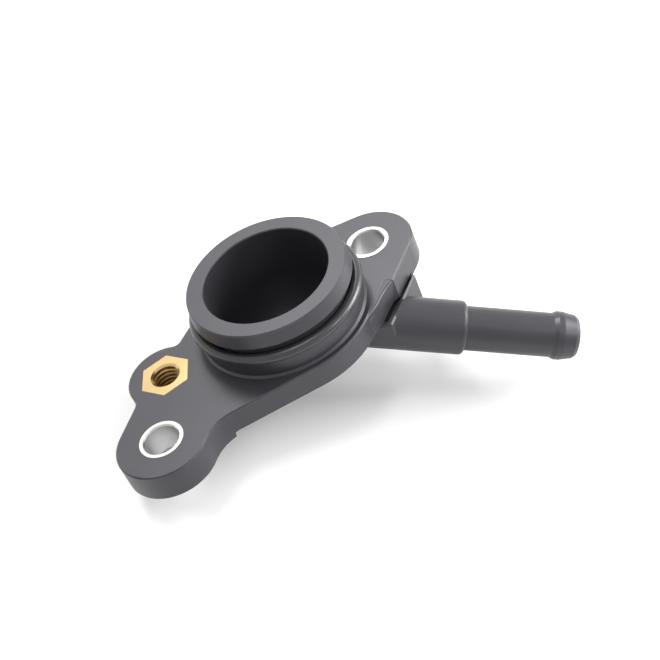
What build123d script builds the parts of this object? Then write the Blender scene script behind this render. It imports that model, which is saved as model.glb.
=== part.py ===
from build123d import *
from math import cos, radians, sin, sqrt
import os

os.makedirs("parts", exist_ok=True)

# Coolant flange. The origin is where the spigot's axis crosses the plate's top face,
# +Z runs up the spigot and +X runs from the left bolt towards the right one.

# Plate
plate_thickness = 5.0
pad_thickness = 6.1
front_radius = 18.75
back_radius = 19.25
edge_break = 0.3
front_left_azimuth = -113.3
front_right_azimuth = -67.2
back_left_azimuth = 109.0
back_right_azimuth = 59.3

# Bolt ears and their sleeves
left_bolt_reach = 35.97
right_bolt_reach = 23.12
bolt_setback = 2.21
ear_radius = 9.4
ear_blend = 9.0
left_pad_reach = 13.1
right_pad_reach = 9.8
sleeve_radius = 4.5
sleeve_bore = 3.5
sleeve_proud = 0.1
sleeve_edge = 0.25

# Shoulder and rounded web at the front right
shoulder_length = 10.3
shoulder_corner = 0.4
web_start = 3.8
web_flare = 0.65
web_ramp = 1.6
web_round = 1.6

# Side lobe with its threaded insert
insert_reach = 24.32
insert_setback = 10.25
insert_across_flats = 9.5
insert_turn = -12.76
insert_length = 8.0
insert_thread_radius = 2.7
insert_mouth = 0.4
lobe_radius = 7.9
lobe_line_azimuth = 116.4
lobe_blend = 2.7
lobe_back_blend = 1.5
boss_inset = 0.9
boss_floor = 1.5

# Spigot
spigot_height = 10.8
spigot_bore = 12.92
collar_radius = 17.1
collar_height = 3.75
collar_edge = 0.4
groove_radius = 15.8
groove_height = 3.7
lip_top_radius = 16.45
lip_radius = 16.9
lip_edge = 0.25
mouth_edge = 0.2

# Sealing ring, its round section drawn with flats
cord_radius = 1.1
cord_flats = 12

# Bowl under the plate
bowl_wall = 2.2
bowl_centre_depth = 1.0

# Hose nozzle, measured along its own axis from the spigot's axis
nozzle_depth = 0.2
nozzle_azimuth = -45.0
nozzle_drop = 24.6
nozzle_start = 12.0
barrel_radius = 5.48
barrel_length = 24.5
barrel_round = 0.8
tube_radius = 4.53
tube_length = 17.7
tube_bore = 2.75
bead_rise = 0.9
bead_radius = 4.95
bead_land = 1.1
nose_taper = 1.5
nose_radius = 4.65
nose_length = 2.0
tip_radius = 3.3

# Root block that carries the nozzle, in a frame turned to its front face
block_distance = 21.45
block_near = 5.35
block_right = 17.05
block_depth = 9.5
block_height = 8.0
block_edge = 0.3
block_corner = 0.5

# Groove between the plate and the block
slot_left = 3.5
slot_right = 17.3
slot_inner = 18.8
slot_outer_left = 20.4
slot_outer_right = 21.1
slot_depth = 0.8

overlap = 1.0
same = 0.01


def polar(radius, azimuth):
    return Vector(radius * cos(radians(azimuth)), radius * sin(radians(azimuth)))


def foot(point, start, heading):
    """The point's foot on the line through start along heading."""
    return start + heading * (point - start).dot(heading)


def crossing(centre, radius, start, heading, side):
    """Where the line through start along heading crosses a circle, before or after its middle."""
    middle = foot(centre, start, heading)
    half_chord = sqrt(radius**2 - (centre - middle).length ** 2)
    return middle + heading * (side * half_chord)


def circles(edges, radius, height):
    """The round edges about the spigot's axis with this radius, at this height."""
    return edges.filter_by(GeomType.CIRCLE).filter_by(
        lambda edge: abs(edge.radius - radius) < same
        and abs(edge.arc_center.Z - height) < same
        and abs(edge.arc_center.X) < same
    )


def quarter(corner, length, rise):
    """Points of a rounded corner, from length before it on the outside to rise below it."""
    return [
        (corner[0] - length * (1 - sin(radians(turn))), corner[1] - rise * (1 - cos(radians(turn))))
        for turn in range(0, 91, 30)
    ]


# Bolts and insert seen from above
left_bolt = Vector(-left_bolt_reach, -bolt_setback)
right_bolt = Vector(right_bolt_reach, -bolt_setback)
insert_centre = Vector(-insert_reach, insert_setback)

# Tangent lines that bound the plate
front_left = polar(front_radius, front_left_azimuth)
front_left_heading = polar(1, front_left_azimuth - 90)
front_right = polar(front_radius, front_right_azimuth)
front_right_heading = polar(1, front_right_azimuth + 90)
back_left = polar(back_radius, back_left_azimuth)
back_left_heading = polar(1, back_left_azimuth + 90)
back_right = polar(back_radius, back_right_azimuth)
lobe_line = left_bolt + polar(ear_radius, lobe_line_azimuth)
lobe_line_heading = polar(1, lobe_line_azimuth - 90)
shoulder_outer = right_bolt + polar(ear_radius, front_right_azimuth)
shoulder_corner_point = shoulder_outer - front_right_heading * shoulder_length
shoulder_inner = foot(shoulder_corner_point, front_right, front_right_heading)
axis_point = Vector(0, 0)

with BuildSketch() as plan:
    Circle(front_radius)
    with BuildLine():
        back_arc = CenterArc(
            (0, 0), back_radius, back_right_azimuth, back_left_azimuth - back_right_azimuth
        )
        Polyline(back_arc @ 1, (0, 0), back_arc @ 0)
    make_face()
    with Locations(left_bolt, right_bolt):
        Circle(ear_radius)
    with Locations(insert_centre):
        Circle(lobe_radius)
    Polygon(
        axis_point,
        front_left,
        foot(left_bolt, front_left, front_left_heading),
        left_bolt,
        align=None,
    )
    Polygon(
        axis_point,
        left_bolt,
        lobe_line,
        foot(insert_centre, lobe_line, lobe_line_heading),
        insert_centre,
        align=None,
    )
    Polygon(
        axis_point,
        insert_centre,
        foot(insert_centre, back_left, back_left_heading),
        back_left,
        align=None,
    )
    Polygon(
        axis_point,
        back_right,
        right_bolt + polar(ear_radius, back_right_azimuth),
        right_bolt,
        align=None,
    )
    Polygon(
        axis_point,
        front_right,
        shoulder_inner,
        shoulder_corner_point,
        shoulder_outer,
        right_bolt,
        align=None,
    )
    for corner, blend in (
        (crossing(left_bolt, ear_radius, front_left, front_left_heading, -1), ear_blend),
        (crossing(insert_centre, lobe_radius, lobe_line, lobe_line_heading, -1), lobe_blend),
        (crossing(insert_centre, lobe_radius, back_left, back_left_heading, -1), lobe_back_blend),
        (shoulder_inner, shoulder_corner),
        (shoulder_corner_point, shoulder_corner),
    ):
        fillet(plan.vertices().sort_by_distance(corner)[0], radius=blend)

# Plate with its thicker ears
with BuildPart() as plate:
    extrude(plan.sketch, amount=-plate_thickness)
    chamfer(plate.faces().sort_by(Axis.Z)[-1].edges(), length=edge_break)
    for bolt, reach in ((left_bolt, left_pad_reach), (right_bolt, right_pad_reach)):
        with BuildSketch(Plane.XY.offset(-plate_thickness)):
            add(plan.sketch)
            with Locations(bolt):
                Circle(reach, mode=Mode.INTERSECT)
        extrude(amount=plate_thickness - pad_thickness)

# Web that blends the plate into the step at the front right, its top edge well rounded
web_foot = front_right + front_right_heading * web_start + polar(web_flare, front_right_azimuth)
web_bend = shoulder_inner - front_right_heading * web_ramp + polar(web_flare, front_right_azimuth)
web_end = shoulder_corner_point + front_right_heading * shoulder_corner
with BuildPart() as web:
    for inset, height in (*quarter((0, 0), web_round, web_round), (0, -plate_thickness)):
        push = polar(inset - same, front_right_azimuth)
        with BuildSketch(Plane.XY.offset(height)):
            Polygon(
                front_right * 0.5,
                front_right + push,
                web_foot + push,
                web_bend + push,
                web_end + push,
                shoulder_inner * 0.5,
                align=None,
            )
    loft(ruled=True)

# Root block, its near wall along the barrel and its underside level with the nozzle's axis
nozzle_side = polar(1, nozzle_azimuth + 90)
nozzle_dir = polar(cos(radians(nozzle_drop)), nozzle_azimuth) - Vector(0, 0, sin(radians(nozzle_drop)))
nozzle_origin = Vector(0, 0, -nozzle_depth)
block_plane = Plane(origin=(0, 0, -plate_thickness), x_dir=front_right_heading, z_dir=(0, 0, 1))
with BuildPart() as root_block:
    with BuildSketch(block_plane):
        with Locations((0, -block_distance)):
            Rectangle(block_right, block_depth, align=(Align.MIN, Align.MIN))
    extrude(amount=-block_height)
    split(bisect_by=Plane(origin=nozzle_side * -block_near, z_dir=nozzle_side))
    split(bisect_by=Plane(origin=nozzle_origin, x_dir=nozzle_dir, z_dir=nozzle_side.cross(nozzle_dir) * -1))
    block_front = root_block.faces().sort_by(Axis((0, 0, 0), polar(1, front_right_azimuth)))[-1]
    fillet(block_front.edges().filter_by(Axis.Z), radius=block_corner)
    block_front = root_block.faces().sort_by(Axis((0, 0, 0), polar(1, front_right_azimuth)))[-1]
    chamfer(block_front.edges().sort_by(Axis.Z)[-1], length=block_edge)

# Moulding
nozzle_plane = Plane(origin=nozzle_origin, x_dir=nozzle_dir, z_dir=nozzle_side * -1)
nozzle_axis = Axis(nozzle_origin, nozzle_dir)
pocket_depth = insert_length + boss_floor
groove_top = collar_height + groove_height
bowl_radius = spigot_bore + bowl_wall

barrel_end = nozzle_start + barrel_length
bead_start = barrel_end + tube_length
bead_end = bead_start + bead_rise + bead_land
tip_end = bead_end + nose_taper + nose_length

with BuildPart() as flange_body:
    # Barrel, tube and bead of the nozzle
    with BuildSketch(nozzle_plane):
        with BuildLine():
            Polyline(
                (nozzle_start, 0),
                (nozzle_start, barrel_radius),
                *quarter((barrel_end, barrel_radius), barrel_round, barrel_round),
                (barrel_end, tube_radius),
                (bead_start, tube_radius),
                (bead_start + bead_rise, bead_radius),
                (bead_end, bead_radius),
                *quarter((tip_end, nose_radius), nose_length, nose_radius - tip_radius),
                (tip_end, 0),
                close=True,
            )
        make_face()
    revolve(axis=nozzle_axis)
    add(root_block.part)
    with BuildSketch(block_plane):
        with Locations((0, -block_distance)):
            Rectangle(2 * block_right, block_depth, align=(Align.CENTER, Align.MIN))
    extrude(amount=plate_thickness, mode=Mode.SUBTRACT)

    add(plate.part)
    add(web.part)
    with BuildSketch(Plane.XY.offset(-edge_break)):
        with Locations(insert_centre):
            Circle(lobe_radius - boss_inset)
    extrude(amount=edge_break - pocket_depth)

    # Groove between the plate and the block
    with BuildSketch(block_plane):
        Polygon(
            (slot_left, -slot_inner),
            (slot_left, -slot_outer_left),
            (slot_right, -slot_outer_right),
            (slot_right, -slot_inner),
            align=None,
        )
    extrude(amount=-slot_depth, mode=Mode.SUBTRACT)

    # Spigot above the plate and bowl below it, as one turned form
    with BuildSketch(Plane.XZ):
        with BuildLine():
            bowl_edge = Line((bowl_radius, -bowl_centre_depth), (bowl_radius, -edge_break))
            step_in = Line(bowl_edge @ 1, (collar_radius, -edge_break))
            outline = Polyline(
                step_in @ 1,
                (collar_radius, collar_height),
                (groove_radius, collar_height),
                (groove_radius, groove_top),
                (lip_radius, groove_top),
                (lip_top_radius, spigot_height),
                (0, spigot_height),
                (0, -bowl_centre_depth - bowl_radius),
            )
            CenterArc((0, -bowl_centre_depth), bowl_radius, -90, 90)
        make_face()
    revolve(axis=Axis.Z)

    # Passage through spigot and bowl
    with BuildSketch(Plane.XZ):
        with BuildLine():
            passage_wall = Line((spigot_bore, -bowl_centre_depth), (spigot_bore, spigot_height))
            Polyline(
                passage_wall @ 1,
                (0, spigot_height),
                (0, -bowl_centre_depth - spigot_bore),
            )
            CenterArc((0, -bowl_centre_depth), spigot_bore, -90, 90)
        make_face()
    revolve(axis=Axis.Z, mode=Mode.SUBTRACT)

    # Nozzle bore, sleeve holes and insert pocket
    with BuildSketch(Plane(origin=nozzle_origin + nozzle_dir * (spigot_bore / 2), z_dir=nozzle_dir)):
        Circle(tube_bore)
    extrude(amount=tip_end, mode=Mode.SUBTRACT)
    with BuildSketch():
        with Locations(left_bolt, right_bolt):
            Circle(sleeve_radius)
    extrude(amount=-pad_thickness, mode=Mode.SUBTRACT)
    with BuildSketch():
        with Locations(Location(insert_centre, insert_turn)):
            RegularPolygon(insert_across_flats / 2, 6, major_radius=False)
    extrude(amount=-insert_length, mode=Mode.SUBTRACT)

    # Broken corners of the spigot
    spigot_wall = min(collar_radius, lip_top_radius) - spigot_bore
    for radius, height, edge in (
        (collar_radius, 0, collar_edge),
        (lip_radius, groove_top, lip_edge),
        (lip_top_radius, spigot_height, mouth_edge),
        (spigot_bore, spigot_height, mouth_edge),
    ):
        chamfer(circles(flange_body.edges(), radius, height), length=min(edge, spigot_wall / 4))
flange_body.part.label = "flange_body"
export_step(flange_body.part, "parts/flange_body.step")

# Sleeves
for name, bolt in (("sleeve_left", left_bolt), ("sleeve_right", right_bolt)):
    with BuildPart() as sleeve:
        with BuildSketch(Plane.XY.offset(-pad_thickness)):
            with Locations(bolt):
                Circle(sleeve_radius)
                Circle(sleeve_bore, mode=Mode.SUBTRACT)
        extrude(amount=pad_thickness + sleeve_proud)
        chamfer(
            sleeve.edges().filter_by(GeomType.CIRCLE).sort_by(Axis.Z)[-2:].sort_by(SortBy.RADIUS)[0],
            length=sleeve_edge,
        )
    sleeve.part.label = name
    export_step(sleeve.part, f"parts/{name}.step")

# Threaded insert
with BuildPart() as thread_insert:
    with BuildSketch():
        with Locations(Location(insert_centre, insert_turn)):
            RegularPolygon(insert_across_flats / 2, 6, major_radius=False)
        with Locations(insert_centre):
            Circle(insert_thread_radius, mode=Mode.SUBTRACT)
    extrude(amount=-insert_length)
    chamfer(
        thread_insert.edges().filter_by(GeomType.CIRCLE).sort_by(Axis.Z)[-1], length=insert_mouth
    )
thread_insert.part.label = "thread_insert"
export_step(thread_insert.part, "parts/thread_insert.step")

# Sealing ring, seated on the groove's floor and on the collar
with BuildPart() as seal_ring:
    with BuildSketch(Plane.XZ):
        with Locations(Location((groove_radius + cord_radius, collar_height + cord_radius), 180 / cord_flats)):
            RegularPolygon(cord_radius, cord_flats, major_radius=False)
    revolve(axis=Axis.Z)
seal_ring.part.label = "seal_ring"
export_step(seal_ring.part, "parts/seal_ring.step")
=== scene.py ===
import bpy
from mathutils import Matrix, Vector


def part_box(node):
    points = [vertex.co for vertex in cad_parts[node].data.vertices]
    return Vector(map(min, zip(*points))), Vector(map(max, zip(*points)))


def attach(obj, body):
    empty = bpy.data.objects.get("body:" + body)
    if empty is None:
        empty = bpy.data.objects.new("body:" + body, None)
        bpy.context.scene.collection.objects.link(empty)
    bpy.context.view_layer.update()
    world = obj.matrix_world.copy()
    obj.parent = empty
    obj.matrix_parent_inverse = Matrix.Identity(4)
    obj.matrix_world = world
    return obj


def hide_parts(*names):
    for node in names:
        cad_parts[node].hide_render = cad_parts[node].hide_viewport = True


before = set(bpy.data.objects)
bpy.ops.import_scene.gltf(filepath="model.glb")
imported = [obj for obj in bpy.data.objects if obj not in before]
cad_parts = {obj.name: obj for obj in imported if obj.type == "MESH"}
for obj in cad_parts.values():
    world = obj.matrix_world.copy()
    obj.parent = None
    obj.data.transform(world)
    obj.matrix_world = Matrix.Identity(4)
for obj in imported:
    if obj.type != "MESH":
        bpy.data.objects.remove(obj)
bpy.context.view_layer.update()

import math

import bpy
from mathutils import Matrix, Vector

print("frame loaded:", sorted(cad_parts))


def deselectAll():
    if bpy.context.mode != "OBJECT":
        bpy.ops.object.mode_set(mode="OBJECT")
    bpy.ops.object.select_all(action="DESELECT")


# Where a node's own upright axis stands, to a hundredth of a millimetre
def uprightAxis(nodeName):
    low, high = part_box(nodeName)
    return round((low.x + high.x) / 2, 5), round((low.y + high.y) / 2, 5), 0.0


# Helpers for materials: an input is given another node's output, a number or a colour
def feed(tree, socket, value):
    if isinstance(value, bpy.types.NodeSocket):
        tree.links.new(value, socket)
    elif socket.type == "RGBA":
        socket.default_value = (*value, 1)
    else:
        socket.default_value = value


def feedAll(tree, node, **inputs):
    for label, value in inputs.items():
        feed(tree, node.inputs[label.replace("_", " ")], value)
    return node


def addNode(tree, kind, **inputs):
    return feedAll(tree, tree.nodes.new(kind), **inputs)


def combine(tree, kind, operation, first, second):
    node = tree.nodes.new(kind)
    node.operation = operation
    feed(tree, node.inputs[0], first)
    feed(tree, node.inputs[1], second)
    return node


def remap(tree, value, source=(0.0, 1.0), target=(0.0, 1.0)):
    node = addNode(
        tree, "ShaderNodeMapRange", Value=value,
        From_Min=source[0], From_Max=source[1], To_Min=target[0], To_Max=target[1],
    )
    return node.outputs["Result"]


def blendColours(tree, factor, first, second):
    mix = tree.nodes.new("ShaderNodeMix")
    mix.data_type = "RGBA"
    feedAll(tree, mix, Factor=factor, A=first, B=second)
    return mix.outputs["Result"]


def blendShaders(tree, factor, first, second, output):
    mix = addNode(tree, "ShaderNodeMixShader", Fac=factor)
    feed(tree, mix.inputs[1], first)
    feed(tree, mix.inputs[2], second)
    feed(tree, output.inputs["Surface"], mix.outputs["Shader"])


def newMaterial(name):
    material = bpy.data.materials.new(name)
    material.use_nodes = True
    tree = material.node_tree
    return material, tree, tree.nodes["Principled BSDF"]


def objectPlace(tree):
    return tree.nodes.new("ShaderNodeTexCoord").outputs["Object"]


def newGroup(name, inputs, outputs):
    group = bpy.data.node_groups.new(name, "ShaderNodeTree")
    for label, kind in inputs.items():
        group.interface.new_socket(name=label, in_out="INPUT", socket_type=kind)
    for label, kind in outputs.items():
        group.interface.new_socket(name=label, in_out="OUTPUT", socket_type=kind)
    entry = group.nodes.new("NodeGroupInput")
    leave = group.nodes.new("NodeGroupOutput")
    return group, entry.outputs, leave.inputs


def useGroup(tree, group, **inputs):
    node = tree.nodes.new("ShaderNodeGroup")
    node.node_tree = group
    return feedAll(tree, node, **inputs)


# Camera, as found from the outlines of the bores and the insert
cameraSet = {
    "place": (-0.100302, -0.199556, 0.191938),
    "turn": (45.2803, 17.8024, -45.3557),   # degrees
    "lens": 80.67,
    "sensor": 36.0,
    "nearest": 0.01,
}
bpy.ops.object.camera_add(
    location=cameraSet["place"],
    rotation=[math.radians(angle) for angle in cameraSet["turn"]],
)
camera = bpy.context.object
camera.name = "photoCamera"
camera.data.lens = cameraSet["lens"]
camera.data.sensor_width = cameraSet["sensor"]
camera.data.clip_start = cameraSet["nearest"]
bpy.context.scene.camera = camera
print("camera set")


# Shared effect: fine surface grain
grainSet = {"detail": 3.0, "roughness": 0.6}


def makeGrain():
    group, given, result = newGroup(
        "fineGrain",
        {"Vector": "NodeSocketVector", "Scale": "NodeSocketFloat", "Depth": "NodeSocketFloat"},
        {"Normal": "NodeSocketVector"},
    )
    noise = addNode(
        group, "ShaderNodeTexNoise", Vector=given["Vector"], Scale=given["Scale"],
        Detail=grainSet["detail"], Roughness=grainSet["roughness"],
    )
    bump = addNode(group, "ShaderNodeBump", Distance=given["Depth"], Height=noise.outputs["Fac"])
    feed(group, result["Normal"], bump.outputs["Normal"])
    return group


# Shared effect: a mask that finds the rounded edges and breaks them up in patches; the edges it finds
# are painted paler, partly as wear and partly as a painted edge highlight
wearAndHighlightSet = {
    "samples": 6,
    "sharp": (0.995, 0.90),      # match of the rounded and the flat normal, from no paling to full paling of the edge
    "broken": (0.35, 0.65),
    "detail": 2.0,
}


def makeWearAndHighlight():
    group, given, result = newGroup(
        "edgeWearAndHighlight",
        {"Vector": "NodeSocketVector", "Radius": "NodeSocketFloat", "Patches": "NodeSocketFloat"},
        {"Mask": "NodeSocketFloat"},
    )
    bevel = addNode(group, "ShaderNodeBevel", Radius=given["Radius"])
    bevel.samples = wearAndHighlightSet["samples"]
    flat = group.nodes.new("ShaderNodeNewGeometry").outputs["Normal"]
    match = combine(group, "ShaderNodeVectorMath", "DOT_PRODUCT", bevel.outputs["Normal"], flat)
    edge = remap(group, match.outputs["Value"], source=wearAndHighlightSet["sharp"])
    patches = addNode(
        group, "ShaderNodeTexNoise", Vector=given["Vector"], Scale=given["Patches"],
        Detail=wearAndHighlightSet["detail"],
    )
    broken = remap(group, patches.outputs["Fac"], source=wearAndHighlightSet["broken"])
    mask = combine(group, "ShaderNodeMath", "MULTIPLY", edge, broken)
    feed(group, result["Mask"], mask.outputs["Value"])
    return group


# Shared effect: the rings that turning leaves round an upright axis
turningSet = {"distortion": 0.6, "detail": 2.0}


def makeTurning():
    group, given, result = newGroup(
        "turningMarks",
        {"Vector": "NodeSocketVector", "Centre": "NodeSocketVector", "Scale": "NodeSocketFloat",
         "Depth": "NodeSocketFloat"},
        {"Marks": "NodeSocketFloat", "Normal": "NodeSocketVector"},
    )
    fromAxis = combine(group, "ShaderNodeVectorMath", "SUBTRACT", given["Vector"], given["Centre"])
    rings = addNode(
        group, "ShaderNodeTexWave", Vector=fromAxis.outputs["Vector"], Scale=given["Scale"],
        Distortion=turningSet["distortion"], Detail=turningSet["detail"],
    )
    rings.wave_type = "RINGS"
    rings.rings_direction = "Z"
    bump = addNode(group, "ShaderNodeBump", Distance=given["Depth"], Height=rings.outputs["Fac"])
    feed(group, result["Marks"], rings.outputs["Fac"])
    feed(group, result["Normal"], bump.outputs["Normal"])
    return group


grainGroup = makeGrain()
wearAndHighlightGroup = makeWearAndHighlight()
turningGroup = makeTurning()


# Moulded plastic: near black and satin, slightly cloudy, with fine grain, and paler edges that are
# partly wear and partly a painted highlight along the edges
plasticSet = {
    "colour": (0.021, 0.0205, 0.025),
    "cloud": (0.030, 0.0295, 0.034),
    "sheen": (0.83, 0.82, 0.86),
    # paler edge colour: wear together with a painted highlight along the edges
    "rubbedAndHighlit": (0.140, 0.140, 0.150),
    "roughness": (0.34, 0.46),
    "refraction": 1.54,
    "clouds": 110.0,
    "cloudDetail": 4.0,
    "grain": 3200.0,
    "grainDepth": 0.000012,
    "wearAndHighlightRadius": 0.00022,
    "wearAndHighlightPatches": 260.0,
    "wearAndHighlightLevel": 0.75,
}


def mouldedPlastic():
    material, tree, shader = newMaterial("mouldedPlastic")
    place = objectPlace(tree)
    clouds = addNode(
        tree, "ShaderNodeTexNoise", Vector=place, Scale=plasticSet["clouds"],
        Detail=plasticSet["cloudDetail"],
    ).outputs["Fac"]
    # the edges are painted paler: partly wear, partly a painted highlight along them
    wearAndHighlight = useGroup(
        tree, wearAndHighlightGroup, Vector=place, Radius=plasticSet["wearAndHighlightRadius"], Patches=plasticSet["wearAndHighlightPatches"]
    )
    level = combine(tree, "ShaderNodeMath", "MULTIPLY", wearAndHighlight.outputs["Mask"], plasticSet["wearAndHighlightLevel"])
    tone = blendColours(tree, clouds, plasticSet["colour"], plasticSet["cloud"])
    wornAndHighlit = blendColours(tree, level.outputs["Value"], tone, plasticSet["rubbedAndHighlit"])
    grain = useGroup(
        tree, grainGroup, Vector=place, Scale=plasticSet["grain"], Depth=plasticSet["grainDepth"]
    )
    feedAll(
        tree, shader,
        Base_Color=wornAndHighlit,
        Normal=grain.outputs["Normal"],
        Roughness=remap(tree, clouds, target=plasticSet["roughness"]),
        IOR=plasticSet["refraction"],
        Specular_Tint=plasticSet["sheen"],
    )
    return material


# Turned steel of the sleeves: fine rings about each sleeve's own axis
steelSet = {
    "colour": (0.56, 0.57, 0.56),
    "marks": (0.45, 0.455, 0.45),
    "roughness": (0.22, 0.38),
    "rings": 1400.0,
    "depth": 0.000004,
}


def turnedSteel(name, centre):
    material, tree, shader = newMaterial(name)
    turning = useGroup(
        tree, turningGroup, Vector=objectPlace(tree), Centre=centre,
        Scale=steelSet["rings"], Depth=steelSet["depth"],
    )
    marks = turning.outputs["Marks"]
    feedAll(
        tree, shader,
        Base_Color=blendColours(tree, marks, steelSet["colour"], steelSet["marks"]),
        Normal=turning.outputs["Normal"],
        Roughness=remap(tree, marks, target=steelSet["roughness"]),
        Metallic=1.0,
    )
    return material


# Brass of the insert: machined, with a browner tarnish in patches
brassSet = {
    "colour": (0.56, 0.44, 0.215),
    "tarnish": (0.60, 0.33, 0.15),
    "tarnishLevel": 0.35,
    "roughness": 0.25,
    "patches": 420.0,
    "patchDetail": 3.0,
    "rings": 900.0,
    "depth": 0.000004,
}


def insertBrass(name, centre, tarnishLevel, roughness):
    material, tree, shader = newMaterial(name)
    place = objectPlace(tree)
    patches = addNode(
        tree, "ShaderNodeTexNoise", Vector=place, Scale=brassSet["patches"],
        Detail=brassSet["patchDetail"],
    )
    level = remap(tree, patches.outputs["Fac"], target=(0.0, tarnishLevel))
    turning = useGroup(
        tree, turningGroup, Vector=place, Centre=centre, Scale=brassSet["rings"], Depth=brassSet["depth"]
    )
    feedAll(
        tree, shader,
        Base_Color=blendColours(tree, level, brassSet["colour"], brassSet["tarnish"]),
        Normal=turning.outputs["Normal"],
        Roughness=roughness,
        Metallic=1.0,
    )
    return material


# Rubber of the ring: smooth black with a faint bloom
rubberSet = {
    "colour": (0.018, 0.018, 0.021),
    "bloom": (0.036, 0.036, 0.040),
    "roughness": (0.24, 0.36),
    "patches": 300.0,
    "patchDetail": 3.0,
    "grain": 4200.0,
    "grainDepth": 0.000006,
}


def ringRubber():
    material, tree, shader = newMaterial("ringRubber")
    place = objectPlace(tree)
    bloom = addNode(
        tree, "ShaderNodeTexNoise", Vector=place, Scale=rubberSet["patches"],
        Detail=rubberSet["patchDetail"],
    ).outputs["Fac"]
    grain = useGroup(
        tree, grainGroup, Vector=place, Scale=rubberSet["grain"], Depth=rubberSet["grainDepth"]
    )
    feedAll(
        tree, shader,
        Base_Color=blendColours(tree, bloom, rubberSet["colour"], rubberSet["bloom"]),
        Normal=grain.outputs["Normal"],
        Roughness=remap(tree, bloom, target=rubberSet["roughness"]),
    )
    return material


insertAxis = uprightAxis("thread_insert")
finishes = {
    "flange_body": mouldedPlastic(),
    "sleeve_left": turnedSteel("turnedSteelLeft", uprightAxis("sleeve_left")),
    "sleeve_right": turnedSteel("turnedSteelRight", uprightAxis("sleeve_right")),
    "thread_insert": insertBrass(
        "insertBrass", insertAxis, brassSet["tarnishLevel"], brassSet["roughness"]
    ),
    "seal_ring": ringRubber(),
}
for nodeName, finish in finishes.items():
    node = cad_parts[nodeName]
    if not node.material_slots:
        node.data.materials.append(finish)
    for slot in node.material_slots:
        slot.material = finish
print("finishes set")


# Smooth sealing ring in place of the plain one, as large as its box
ringSet = {"around": 160, "across": 28}


def smoothRing():
    low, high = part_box("seal_ring")
    cord = (high.z - low.z) / 2
    deselectAll()
    bpy.ops.mesh.primitive_torus_add(
        major_radius=high.x - cord,
        minor_radius=cord,
        major_segments=ringSet["around"],
        minor_segments=ringSet["across"],
        location=(0, 0, (low.z + high.z) / 2),
    )
    ring = bpy.context.object
    ring.name = "seal_ring_smooth"
    bpy.ops.object.transform_apply(location=True, rotation=True, scale=True)
    bpy.ops.object.shade_smooth()
    ring.data.materials.append(finishes["seal_ring"])
    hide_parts("seal_ring")
    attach(ring, "root")


smoothRing()

# Thread inside the insert: one three-sided ridge wound down the bore
threadSet = {
    "bore": 0.0027,
    "ridge": 0.00046,
    "pitch": 0.001,
    "turns": 7,
    "steps": 48,
    "start": -0.0007,
    "tarnishLevel": 0.5,
    "roughness": 0.45,
}


def insertThread():
    deselectAll()
    bpy.ops.mesh.primitive_circle_add(
        vertices=3,
        radius=threadSet["ridge"],
        fill_type="NOTHING",
        location=(insertAxis[0], insertAxis[1], threadSet["start"]),
        rotation=(math.radians(90), 0, 0),
    )
    thread = bpy.context.object
    thread.name = "insert_thread"
    bpy.ops.object.transform_apply(location=False, rotation=True, scale=True)
    bpy.ops.object.mode_set(mode="EDIT")
    bpy.ops.mesh.select_all(action="SELECT")
    bpy.ops.transform.rotate(value=math.radians(90), orient_axis="Y")
    bpy.ops.transform.translate(value=(threadSet["bore"], 0, 0))
    bpy.ops.object.mode_set(mode="OBJECT")
    winding = thread.modifiers.new("winding", "SCREW")
    winding.axis = "Z"
    winding.angle = -2 * math.pi
    winding.screw_offset = -threadSet["pitch"]
    winding.iterations = threadSet["turns"]
    winding.steps = threadSet["steps"]
    winding.render_steps = threadSet["steps"]
    bpy.ops.object.modifier_apply(modifier=winding.name)
    bpy.ops.object.transform_apply(location=True, rotation=True, scale=True)
    bpy.ops.object.mode_set(mode="EDIT")
    bpy.ops.mesh.select_all(action="SELECT")
    bpy.ops.mesh.normals_make_consistent(inside=False)
    bpy.ops.object.mode_set(mode="OBJECT")
    reach = [(vertex.co.to_2d() - Vector(insertAxis[:2])).length for vertex in thread.data.vertices]
    print("thread from radius", min(reach), "to", max(reach))
    thread.data.materials.append(
        insertBrass("threadBrass", insertAxis, threadSet["tarnishLevel"], threadSet["roughness"])
    )
    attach(thread, "root")


insertThread()


# Web at the nozzle's root: carries the plate's top smoothly over to the right ear's step.
# Stations run along the plate's straight front edge, reaches outwards from the spigot's axis.
webSet = {
    "turn": 22.8,                # degrees from +X to the front edge
    "stations": (0.0004, 0.0038, 0.0063, 0.0086, 0.0105),
    "inner": 0.0174,
    "topReach": (0.0187, 0.01945, 0.01955, 0.01992, 0.02037),
    "footReach": (0.0187, 0.01945, 0.01947, 0.01956, 0.0199),
    "innerTop": -0.00006,
    "tops": (-0.00002, 0.00001, 0.00002, 0.00002, -0.00004),
    "foot": -0.00497,
    "round": 0.0006,
    "segments": 8,
    "smooth": 30,                # degrees
}


# Where a corner of the plain block goes: the block runs from -1 to 1 in X and Y, and 1 down
def webCorner(corner):
    index = round((corner.x + 1) / 2 * (len(webSet["stations"]) - 1))
    outer = corner.y < 0
    low = round(corner.z) < 0
    reach, height = webSet["inner"], webSet["innerTop"]
    if outer:
        reach = webSet["footReach" if low else "topReach"][index]
        height = webSet["tops"][index]
    if low:
        height = webSet["foot"]
    return Vector((webSet["stations"][index], -reach, height))


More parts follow.
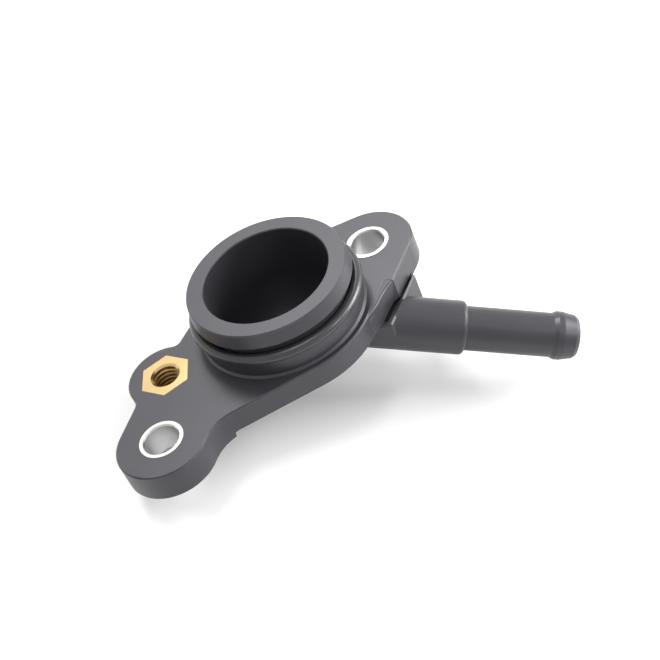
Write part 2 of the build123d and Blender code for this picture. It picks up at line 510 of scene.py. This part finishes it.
def roundedWeb():
    deselectAll()
    bpy.ops.mesh.primitive_grid_add(
        x_subdivisions=len(webSet["stations"]) - 1, y_subdivisions=1, size=2
    )
    web = bpy.context.object
    web.name = "root_web"
    bpy.context.tool_settings.mesh_select_mode = (True, False, False)
    bpy.ops.object.mode_set(mode="EDIT")
    bpy.ops.mesh.select_all(action="SELECT")
    bpy.ops.mesh.extrude_region_move(TRANSFORM_OT_translate={"value": (0, 0, -1)})
    bpy.ops.mesh.select_all(action="DESELECT")
    bpy.ops.object.mode_set(mode="OBJECT")
    corners = [vertex.co.copy() for vertex in web.data.vertices]
    for number, corner in enumerate(corners):
        web.data.vertices[number].select = True
        bpy.ops.object.mode_set(mode="EDIT")
        bpy.ops.transform.translate(value=webCorner(corner) - corner)
        bpy.ops.mesh.select_all(action="DESELECT")
        bpy.ops.object.mode_set(mode="OBJECT")
    for edge in web.data.edges:
        ends = [corners[number] for number in edge.vertices]
        edge.select = all(end.y < 0 and round(end.z) == 0 for end in ends)
    bpy.context.tool_settings.mesh_select_mode = (False, True, False)
    bpy.ops.object.mode_set(mode="EDIT")
    bpy.ops.mesh.bevel(offset=webSet["round"], segments=webSet["segments"], affect="EDGES")
    bpy.ops.mesh.select_all(action="SELECT")
    bpy.ops.mesh.normals_make_consistent(inside=False)
    bpy.ops.object.mode_set(mode="OBJECT")
    web.rotation_euler = (0, 0, math.radians(webSet["turn"]))
    bpy.ops.object.transform_apply(location=True, rotation=True, scale=True)
    bpy.ops.object.shade_smooth_by_angle(angle=math.radians(webSet["smooth"]))
    even = web.modifiers.new("even", "WEIGHTED_NORMAL")
    even.keep_sharp = True
    bpy.ops.object.modifier_apply(modifier=even.name)
    web.data.materials.append(finishes["flange_body"])
    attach(web, "root")


roundedWeb()
print("ring, thread and web made")


# Pale floor, tilted as the part lies in the photo: on its left ear and its nozzle's tip.
# It is seen through from below.
floorSet = {
    "normal": (0.09, -0.33, 0.94),
    "size": 3.0,
    "colour": (0.82, 0.82, 0.82),
    "roughness": 0.9,
}


def plainFloor():
    normal = Vector(floorSet["normal"]).normalized()
    lowest = min(
        normal.dot(vertex.co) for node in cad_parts.values() for vertex in node.data.vertices
    )
    deselectAll()
    bpy.ops.mesh.primitive_plane_add(size=floorSet["size"])
    floor = bpy.context.object
    floor.name = "floor"
    tilt = normal.to_track_quat("Z", "Y").to_matrix().to_4x4()
    floor.matrix_world = Matrix.Translation(normal * lowest) @ tilt
    material, tree, shader = newMaterial("floorPaper")
    feedAll(tree, shader, Base_Color=floorSet["colour"], Roughness=floorSet["roughness"])
    below = tree.nodes.new("ShaderNodeNewGeometry").outputs["Backfacing"]
    clear = tree.nodes.new("ShaderNodeBsdfTransparent")
    blendShaders(
        tree, below, shader.outputs["BSDF"], clear.outputs["BSDF"], tree.nodes["Material Output"]
    )
    floor.data.materials.append(material)


plainFloor()


# Soft studio light: each lamp points at the spigot's centre
lightSet = {
    "back": {"place": (0.467, 0.557, 1.078), "size": 0.40, "power": 12.0},
    "overhead": {"place": (-0.04, -0.10, 0.80), "size": 0.20, "power": 1.2},
    "right": {"place": (0.52, -0.30, 0.10), "size": 0.30, "power": 5.5},
    "front": {"place": (0.191, -0.411, 0.211), "size": 0.12, "power": 0.5},
}


def softLight(name, place, size, power):
    bpy.ops.object.light_add(type="AREA", location=place)
    lamp = bpy.context.object
    lamp.name = name
    lamp.data.size = size
    lamp.data.energy = power
    lamp.rotation_euler = (-Vector(place)).to_track_quat("-Z", "Y").to_euler()


for lampName, lampValues in lightSet.items():
    softLight(lampName, **lampValues)


# Pale world: it lights the part at one level, and is seen and mirrored as white
worldSet = {"colour": (1, 1, 1), "light": 0.72, "background": 1.0}


def paleWorld():
    world = bpy.data.worlds.new("paleWorld")
    bpy.context.scene.world = world
    world.use_nodes = True
    tree = world.node_tree
    light = feedAll(
        tree, tree.nodes["Background"], Color=worldSet["colour"], Strength=worldSet["light"]
    )
    background = addNode(
        tree, "ShaderNodeBackground", Color=worldSet["colour"], Strength=worldSet["background"]
    )
    path = tree.nodes.new("ShaderNodeLightPath")
    seen = path.outputs["Is Camera Ray"]
    for ray in ("Is Transmission Ray", "Is Glossy Ray"):
        seen = combine(tree, "ShaderNodeMath", "MAXIMUM", seen, path.outputs[ray]).outputs["Value"]
    blendShaders(
        tree, seen, light.outputs["Background"], background.outputs["Background"],
        tree.nodes["World Output"],
    )


paleWorld()
bpy.context.scene.view_settings.view_transform = "Standard"
print("floor, lights and world set")
